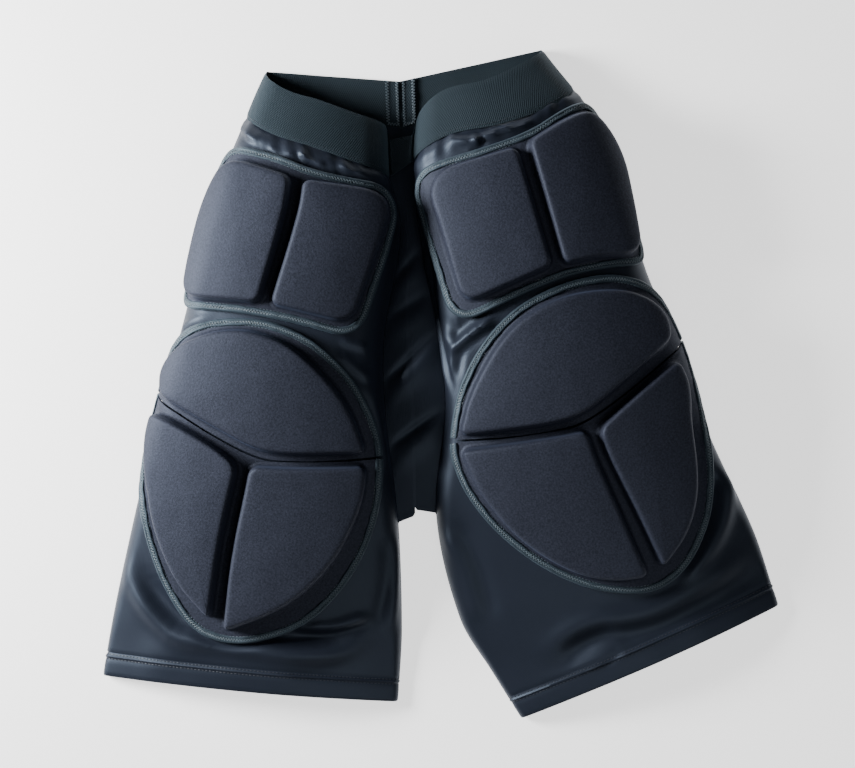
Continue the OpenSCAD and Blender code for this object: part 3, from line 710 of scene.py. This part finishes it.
def hemOff(half, u, w, t):
    rise, above = 0.0, hemEnd(half, t) - u
    for row in hemRing["rowsUp"]:
        rise = rise - hemRing["dent"] * bell(above - row, hemRing["dentWidth"])
    between = sum(hemRing["rowsUp"]) / 2
    rise = rise + hemRing["puff"] * bell(above - between, hemRing["puffWidth"])
    return drape(half, u, w) + rise


def hemSpot(half, t, up, lift):  # a place on the hem, up from its edge
    u = hemEnd(half, t) - up
    w = t * halfArc(half, u)
    return skin(half, u, w, hemOff(half, u, w, t) + lift)


def hemBack(half, f, u, height):  # behind it, from the inner fold (0) to the side (1)
    edge = hemRing["sideIn"]
    return back(half, u, mix(inEdge(half, u) + edge, outEdge(half, u) - edge, f), height)


for name, half in halves.items():
    profile = np.array(hemProfile)
    t = sideways(hemRing["across"])[:, None]
    u = hemEnd(half, t) - shape["hemDepth"] + profile[None, :, 0]
    w = t * halfArc(half, u)
    outer = (profile[:, 1] > -1)[None, :]
    off = profile[None, :, 1] + np.where(outer, hemOff(half, u, w, t), drape(half, u, w))
    frontLoops = skin(half, u, w, off)
    f = np.linspace(1, 0, hemRing["behind"] + 1)[:, None]
    u = hemEnd(half, 2 * f - 1) - shape["hemDepth"] + profile[None, :, 0]
    backLoops = hemBack(half, f, u, hemRing["backLow"] - (profile[None, :, 1] + 0.7))
    loops = np.concatenate([frontLoops, backLoops])
    uv = ringUv(loops[:, 4], loops, profile[:, 0])
    hem = makePiece(name + "_hem_fold", *ringMesh(loops, True), "shell_knit", uv)
    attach(hem, half["leg"])
    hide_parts(name + "_hem")
    rows = []
    for up in hemRing["rowsUp"]:
        f = np.linspace(0.02, 0.98, 80)
        for line in (hemSpot(half, np.linspace(-0.99, 0.99, 200), up, hemRing["threadLift"]),
                     hemBack(half, f, hemEnd(half, 2 * f - 1) - up, hemRing["backThread"])):
            line = evenly(line, hemRing["stitch"], False)
            rows.append(dashes(line, upright(line), hemRing["thread"]))
    stitching = makePiece(name + "_hem_stitching", *joinMeshes(rows), "shell_thread")
    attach(stitching, half["leg"])
print("hems sewn")


# Side and inner seams: a narrow welt along each fold

welt = {"radius": 1.0, "sides": 8, "step": 3.0, "in": 0.6, "height": -0.5}


def tube(line, radius, sides):
    ahead = unit(np.gradient(line, axis=0))
    side = unit(np.cross(ahead, (0, 0, 1.0)))
    up = np.cross(side, ahead)
    angle = np.linspace(0, 2 * pi, sides, endpoint=False)[None, :, None]
    return line[:, None] + radius * (side[:, None] * np.cos(angle) + up[:, None] * np.sin(angle))


for half in halves.values():
    for seam, t in (("outseam", 1), ("inseam", -1)):
        start, end = frontEnds(half, t)
        u = np.arange(start + 4, end - 1, welt["step"])
        edge = outEdge(half, u) - welt["in"] if t == 1 else inEdge(half, u) + welt["in"]
        loops = tube(back(half, u, edge, welt["height"]), welt["radius"], welt["sides"])
        seamPiece = makePiece(half["name"] + "_" + seam, *ringMesh(loops, False), "shell_knit")
        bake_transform(seamPiece)
print("seams closed")


# The panel between the halves, sunk on to the back and caught in soft folds

centrePanel = {"rows": 130, "columns": 26, "bump": 10, "lift": 1.4, "lapDrop": 0.35,
               "flat": (0.058, 0.31), "area": 0.0107,
               "creases": [[0.52, 0.62, 0.016, 3.0], [0.74, 0.81, 0.014, 2.6], [0.27, 0.30, 0.02, 1.4],
                           [0.40, 0.43, 0.02, 1.2]]}
# each crease: share down at the left half's edge, at the right half's edge, its width and depth


def centreSpot(f, down, lift):  # f from the right half's fold (0) to the left half's (1)
    right, left = halves["right"], halves["left"]
    ur = mix(along(right["band"], -1, 2) - 2.5, right["crotch"], down)
    ul = mix(along(left["band"], -1, 2) - 2.5, left["crotch"], down)
    a = back(right, ur, inEdge(right, ur) - 0.2, centrePanel["lift"])
    b = back(left, ul, inEdge(left, ul) - 0.2, centrePanel["lift"])
    bump = centrePanel["bump"] * f * (1 - f) * np.sin(pi * down)
    for atLeft, atRight, width, depth in centrePanel["creases"]:
        away = down - mix(atRight, atLeft, f)
        bump = bump - depth * bell(away, width) * 4 * f * (1 - f)
        bump = bump + depth * bell(away - 0.05, 0.035) * 3.2 * f * (1 - f)
    spots = mix(a, b, f[..., None] if np.ndim(f) else f)
    spots[..., 2] += bump + lift
    return spots


for half, share in ((halves["right"], (0.0, 0.53)), (halves["left"], (0.5, 1.0))):
    f, down = np.meshgrid(np.linspace(*share, centrePanel["columns"] // 2 + 1),
                          fractions(centrePanel["rows"]))
    drop = (centrePanel["lapDrop"] if half["name"] == "right" else 0.0) * smooth((f - 0.44) / 0.05)
    points, faces, uv = sheetMesh(centreSpot(f, down, shape["fabric"] - drop), centreSpot(f, down, -drop),
                                  np.stack([f * 40, down * 300], -1))
    panel = makePiece(half["name"] + "_centre_panel", points, faces, "shell_knit", uv)
    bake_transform(panel)
    if half["name"] == "right":
        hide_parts("centre_front_panel")
print("centre panel laid")


# Waist elastic: over both halves in front, flat behind, its join inside the centre back

waistband = {"depthSteps": 14, "frontColumns": 110, "backColumns": 60, "dipColumns": 18, "dipRise": 4,
             "dipDrop": 12, "height": 0.7, "wave": 0.35, "sideIn": 2.5, "stitchedAt": 0.93, "stitch": 2.8,
             "threadLift": 0.75, "thread": 0.26, "flat": (0.5, 0.04)}


def bandRow(half, t, e, inner):  # e is the share of its depth, down from the top
    u = mix(along(half["band"], t, 1), along(half["band"], t, 2), e)
    w = t * halfArc(half, u)
    belly = 0.6 * np.sin(pi * e) + waistband["wave"] * wander(u, w, 55, 3)
    thin = 0.35 * (1 - smooth(np.minimum(e, 1 - e) / 0.06))
    sink = mix(1 - thin, thin, 1 - inner) * shape["elastic"]
    return skin(half, u, w, waistband["height"] + belly - sink)


def bandColumns(depths):
    count = waistband["depthSteps"] + 1
    inner = np.repeat([0, 1], count)[None, :]
    t = sideways(waistband["frontColumns"], 0.4)
    right, left = halves["right"], halves["left"]

    def frontOf(half, order):
        return bandRow(half, order[:, None], depths, inner)
    rightFront, leftFront = frontOf(right, t[::-1]), frontOf(left, t)
    f = fractions(waistband["dipColumns"] + 1)[1:-1, None, None]
    ends = [np.concatenate([k[:count], k[:count][::-1]]) for k in (rightFront[-1], leftFront[0])]
    dip = mix(ends[0][None], ends[1][None], f)
    lifts = np.repeat([waistband["dipRise"] + shape["elastic"], waistband["dipRise"]], count)
    bow = np.sin(pi * f[:, :, 0])
    dip[..., 2] += lifts[None, :] * smooth(bow / 0.35)
    dip[..., 1] -= waistband["dipDrop"] * smooth(bow / 0.45) * (1 - depths)
    f = fractions(waistband["backColumns"])

    def backOf(half, order):
        u = backTop(half, order[:, None]) + shape["bandDepth"] * depths
        v = mix(outEdge(half, u) - waistband["sideIn"], seamEdge(half, u), order[:, None])
        height = np.repeat([-shape["elastic"], 0], count)[None, :]
        ripple = 0.4 * wander(u, v, 60, 7) * smooth(order[:, None] / 0.1)
        return back(half, u, v, height + ripple)
    return np.concatenate([rightFront, dip, leftFront, backOf(left, f), backOf(right, f[::-1])[1:]])


down = fractions(waistband["depthSteps"])
depths = np.concatenate([down, down[::-1]])
loops = bandColumns(depths[None, :])
uv = ringUv(loops[:, 7], loops, depths * shape["bandDepth"])
elastic = makePiece("waist_elastic", *ringMesh(loops, True), "elastic", uv)
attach(elastic, "seat")
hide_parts("waistband")

joinFlap = {"from": 1.6, "width": 9.6, "thick": 1.1, "rows": 26, "columns": 6, "share": (0.03, 0.93),
            "thread": 0.3, "threadLift": 1.4, "turns": 30, "endTurns": 9, "flat": (0.0115, 0.036)}


def flapSpot(half, across, downShare, lift):
    u = half["backTop"] + shape["bandDepth"] * downShare
    curl = 0.7 + 0.9 * (across - 0.45)**2 * 2 + 0.25 * np.sin(downShare * 17 + half["side"])
    return back(half, u, seamEdge(half, u) + joinFlap["from"] + joinFlap["width"] * across, curl + lift)


for half in halves.values():
    across, depth = np.meshgrid(fractions(joinFlap["columns"]),
                                np.linspace(*joinFlap["share"], joinFlap["rows"] + 1))
    points, faces, uv = sheetMesh(flapSpot(half, across, depth, joinFlap["thick"]),
                                  flapSpot(half, across, depth, 0.0),
                                  np.stack([across * 8, depth * 38], -1))
    flap = makePiece(half["name"] + "_join_flap", points, faces, "elastic", uv)
    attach(flap, "seat")
    if half["name"] == "right":
        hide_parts("waistband_join")
    threads = []
    steps, ends = np.arange(joinFlap["turns"]), np.arange(joinFlap["endTurns"])
    depth = mix(*joinFlap["share"], steps / steps[-1])
    for across, depth in ((0.97 + 0.16 * (-1.0) ** steps, depth), (0.12 + 0.12 * (-1.0) ** steps, depth),
                          (ends / ends[-1], 0.95 + 0.03 * (-1.0) ** ends)):
        corners = flapSpot(half, across, depth, joinFlap["threadLift"])
        threads.append(zigzag(corners, upright(corners), joinFlap["thread"]))
    overlock = makePiece(half["name"] + "_join_overlock", *joinMeshes(threads), "thread")
    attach(overlock, "seat")

rows = []
for half in halves.values():
    t = np.linspace(-0.97, 0.97, 160)
    u = mix(along(half["band"], t, 1), along(half["band"], t, 2), waistband["stitchedAt"])
    line = skin(half, u, t * halfArc(half, u), waistband["threadLift"])
    line = evenly(line, waistband["stitch"], False)
    rows.append(dashes(line, upright(line), waistband["thread"]))
bandStitch = makePiece("waist_elastic_stitching", *joinMeshes(rows), "shell_thread")
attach(bandStitch, "seat")
print("waist elastic on")


# Pads: a knit face moulded over foam cells, a flange round them, and a folded binding.
# The side and top edge of a cell: distance in from its outline, share of its height
cellProfile = [[-3.4, -0.012], [-2.2, 0.006], [-1.2, 0.035], [-0.4, 0.095], [0.05, 0.19], [0.35, 0.34],
               [0.65, 0.52], [1.0, 0.7], [1.25, 0.79], [1.6, 0.868], [2.1, 0.925], [2.8, 0.966],
               [3.7, 0.989], [5.0, 1.0]]
cellShape = {"sink": 1.2, "swell": 0.22, "swellPitch": 38, "crown": 0.7}
# The folded tape: share of its width, share of its height
bindingProfile = [[0.02, 0.0], [-0.02, 0.3], [0.02, 0.62], [0.1, 0.86], [0.22, 0.98], [0.34, 0.93],
                  [0.45, 0.84], [0.58, 0.84], [0.7, 0.93], [0.82, 0.97], [0.93, 0.84], [0.99, 0.55],
                  [1.0, 0.2], [0.98, 0.0]]
bindingThread = {"radius": 0.3, "pitch": 2.3, "reach": 1.25, "middle": 3.1, "lift": 0.12, "seat": 0.84,
                 "rowIn": 5.75, "rowStitch": 2.7, "rowThread": 0.27, "rowLift": 0.25}


def grooveAt(q):
    return along(groove, q, 1)


def cellMesh(spot, outline, low, top, seed):
    outline = evenly(outline, padBuild["step"])
    centre = outline.mean(0)
    foot, crown = low - cellShape["sink"], cellShape["crown"]
    rings, marks = [], []

    def ring(line, off):
        rings.append(spot(*line.T, off))
        marks.append(line)

    def swell(line):
        return cellShape["swell"] * wander(*line.T, cellShape["swellPitch"], seed)
    for f in (0.3, 0.7, 0.97):
        ring(mix(centre, inset(outline, cellProfile[0][0]), f), foot)
    for distance, share in cellProfile:
        line = inset(outline, distance)
        ring(line, low + (top - low) * share + swell(line) * smooth(share))
    for f in (0.95, 0.88, 0.78, 0.66, 0.52, 0.38, 0.24, 0.1):
        last = mix(centre, line, f)
        ring(last, top + crown * (1 - f**2) + swell(last))
    points, faces = pebbleMesh(spot(*centre, foot), rings, spot(*centre, top + crown))
    return points, faces, np.concatenate([[centre], np.concatenate(marks), [centre]])


def flangeMesh(spot, outline, low, top, seed):
    centre = outline.mean(0)
    shares = (0.15, 0.3, 0.45, 0.6, 0.72, 0.82, 0.9, 0.96, 1.0)
    rings = []
    for f in shares + shares[::-1]:
        line = mix(centre, outline, f)
        upper = len(rings) >= len(shares)
        off = (top + 0.15 * wander(*line.T, 24, seed)) if upper else low
        rings.append(spot(*line.T, off))
    return pebbleMesh(spot(*centre, low), rings, spot(*centre, top))


def bindingMesh(spot, outline, closed, low, height):
    profile = np.array(bindingProfile)
    n = inwards(outline, closed)
    marks = distances(outline)
    width = padBuild["bindingWidth"] * (1 + 0.05 * np.sin(marks / 7.0) + 0.03 * np.sin(marks / 2.3))
    line = outline[:, None] + n[:, None] * (profile[None, :, 0:1] * width[:, None, None])
    rise = height * (1 + 0.07 * np.sin(marks / 5.3 + 1) + 0.04 * np.sin(marks / 1.9))
    loops = spot(line[..., 0], line[..., 1], low + profile[None, :, 1] * rise[:, None])
    return ringMesh(loops, closed)


def bindingStitches(spot, outline, closed, top):
    line = evenly(outline, bindingThread["pitch"] / 2, closed)
    n = inwards(line, closed)
    swing = bindingThread["middle"] + bindingThread["reach"] * (-1.0) ** np.arange(len(line))
    path = line + n * swing[:, None]
    spots = spot(*path.T, top + bindingThread["lift"])
    ups = upAt(spot, *path.T)
    inner = evenly(inset(outline, bindingThread["rowIn"], closed), bindingThread["rowStitch"], closed)
    row = spot(*inner.T, padBuild["flangeTop"] + bindingThread["rowLift"])
    rowUps = upAt(spot, *inner.T)
    return joinMeshes([zigzag(spots, ups, bindingThread["radius"]),
                       dashes(row, rowUps, bindingThread["rowThread"])])


def partOfEdge(outline, lower, gap):  # the stretch on one side of the groove
    limit = grooveAt(outline[:, 1])
    keep = outline[:, 0] > limit + gap if lower else outline[:, 0] < limit - gap
    start = next(i for i in range(len(outline)) if keep[i] and not keep[i - 1])
    order = [(start + k) % len(outline) for k in range(len(outline))]
    return np.array([outline[i] for i in order if keep[i]])


def addPad(name, body, spot, flange, edge, closed, cells, replaced, heights=padBuild):
    low, top = heights["flangeLow"], heights["flangeTop"]
    seed = sum(map(ord, name)) % 17
    face = makePiece(name + "_face", *flangeMesh(spot, flange, low, top, seed), "pad_knit")
    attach(face, body)
    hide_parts(*replaced["face"])
    for number, (label, outline, nodes) in enumerate(cells):
        points, faces, uv = cellMesh(spot, outline, top, heights["cellTop"], seed + number)
        cell = makePiece(name + "_" + label, points, faces, "pad_knit", uv, crease=70)
        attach(cell, body)
        if nodes:
            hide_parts(*nodes)
    height = padBuild["bindingHeight"]
    bound = makePiece(name + "_tape", *bindingMesh(spot, edge, closed, low - 0.1, height), "binding")
    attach(bound, body)
    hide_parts(*replaced["binding"])
    stitches = bindingStitches(spot, edge, closed, low - 0.1 + bindingThread["seat"] * height)
    sewn = makePiece(name + "_tape_stitching", *stitches, "thread")
    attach(sewn, body)


def onHalf(half, centre):
    return lambda p, q, off: raised(half, centre[0] + p, centre[1] + q, off)


def foamCells(name, pad, labels):
    return [("cell_" + k, rounded(pads[name][pad + "_foam_" + k]), [name + "_" + pad + "_foam_" + k])
            for k in labels]


for name, half in halves.items():
    addPad(name + "_hip", "seat", onHalf(half, half["hip"]), inset(half["hipEdge"], padBuild["flangeIn"]),
           half["hipEdge"], True, foamCells(name, "hip", ["inner", "outer"]),
           {"face": [name + "_hip_backing", name + "_hip_cover"], "binding": [name + "_hip_binding"]})
    for lower, body, part, labels in (
            (False, "seat", "upper", ["top"]), (True, half["leg"], "lower", ["inner", "outer"])):
        way = 1 if lower else -1
        edge = partOfEdge(half["thighEdge"], lower, padBuild["thighGap"])
        reach = np.linspace(98, -98, 60) * way
        line = np.stack([grooveAt(reach) + way * padBuild["grooveGap"], reach], 1)
        inner = partOfEdge(inset(half["thighEdge"], padBuild["flangeIn"]), lower, padBuild["flangeGap"])
        first, last = sorted([inner[0, 1], inner[-1, 1]])
        line = line[(line[:, 1] > first) & (line[:, 1] < last)]
        flange = evenly(np.vstack([inner, line]), padBuild["step"])
        addPad(name + "_thigh_" + part, body, onHalf(half, half["thigh"]), flange, edge, False,
               foamCells(name, "thigh", labels),
               {"face": [name + "_thigh_backing_" + part, name + "_thigh_cover_" + part],
                "binding": [name + "_thigh_binding_" + part]})
print("front pads on")


# Pads under the seat, flat, facing down

rearPads = {"height": 14, "cellIn": 11, "gap": 7, "corner": 20, "cellCorner": 12,
            "flangeLow": 0.1, "flangeTop": 1.8, "cellTop": 13.2,
            "tailbone": [(-27, 80), 50, 108], "right_seat": [(-113, 76), 92, 112],
            "left_seat": [(63, 84), 92, 112]}


def boxCorners(width, length, radius, centre=(0, 0)):
    x, y = centre
    return [[x - width / 2, y - length / 2, radius], [x + width / 2, y - length / 2, radius],
            [x + width / 2, y + length / 2, radius], [x - width / 2, y + length / 2, radius]]


for name in ("tailbone", "right_seat", "left_seat"):
    centre, width, length = rearPads[name]

    def under(p, q, off, centre=centre):
        p, q, off = np.broadcast_arrays(*(np.asarray(k, float) for k in (p, q, off)))
        return np.stack([centre[0] + p + shape["shift"][0], centre[1] + q + shape["shift"][1],
                         rearPads["height"] - off], -1)
    cellLength = (length - 2 * rearPads["cellIn"] - rearPads["gap"]) / 2
    edge = evenly(rounded(boxCorners(width, length, rearPads["corner"])), padBuild["step"])
    cellWidth = width - 2 * rearPads["cellIn"]
    cells = []
    for label, k, nodes in (("lower", -1, [name + "_foam"]), ("upper", 1, [])):
        middle = (0, k * (cellLength + rearPads["gap"]) / 2)
        corners = boxCorners(cellWidth, cellLength, rearPads["cellCorner"], middle)
        cells.append(("cell_" + label, rounded(corners), nodes))
    addPad(name, "seat", under, inset(edge, padBuild["flangeIn"]), edge, True, cells,
           {"face": [name + "_backing", name + "_cover"], "binding": [name + "_binding"]}, rearPads)
print("seat pads on")


# Floor and light

room = {"floor": 6.0, "floorHeight": -0.0004, "floorColour": (0.9, 0.9, 0.9, 1), "floorRoughness": 0.9,
        "glow": 1.5, "world": 0.07, "worldColour": (0.93, 0.96, 1, 1), "aim": (0, 0, 0.03),
        "window": {"place": (-1.0, 0.22, 0.45), "size": (0.4, 0.3), "power": 40},
        "ceiling": {"place": (0.45, -0.8, 1.3), "size": (1.0, 1.0), "power": 6}}
bpy.ops.object.select_all(action="DESELECT")
bpy.ops.mesh.primitive_plane_add(size=room["floor"], location=(0, 0, room["floorHeight"]))
floor = bpy.context.object
floor.name = "floor"
bpy.ops.object.transform_apply(location=True)
floorMaterial, floorShader = shaded("floor")
floorShader.inputs["Base Color"].default_value = room["floorColour"]
floorShader.inputs["Roughness"].default_value = room["floorRoughness"]
floorShader.inputs["Emission Color"].default_value = room["floorColour"]
floorShader.inputs["Emission Strength"].default_value = room["glow"]
floor.data.materials.append(floorMaterial)

world = bpy.data.worlds.new("room")
world.use_nodes = True
world.node_tree.nodes["Background"].inputs[0].default_value = room["worldColour"]
world.node_tree.nodes["Background"].inputs[1].default_value = room["world"]
bpy.context.scene.world = world


def softLight(name, settings):
    bpy.ops.object.light_add(type="AREA", location=settings["place"])
    lamp = bpy.context.object
    lamp.name = name
    lamp.data.shape = "RECTANGLE"
    lamp.data.size, lamp.data.size_y = settings["size"]
    lamp.data.energy = settings["power"]
    direction = np.array(room["aim"]) - np.array(settings["place"])
    direction = direction / np.linalg.norm(direction)
    lamp.rotation_mode = "QUATERNION"
    lamp.rotation_quaternion = Vector(direction).to_track_quat("-Z", "Y")


softLight("window_light", room["window"])
softLight("ceiling_light", room["ceiling"])
print("light set")
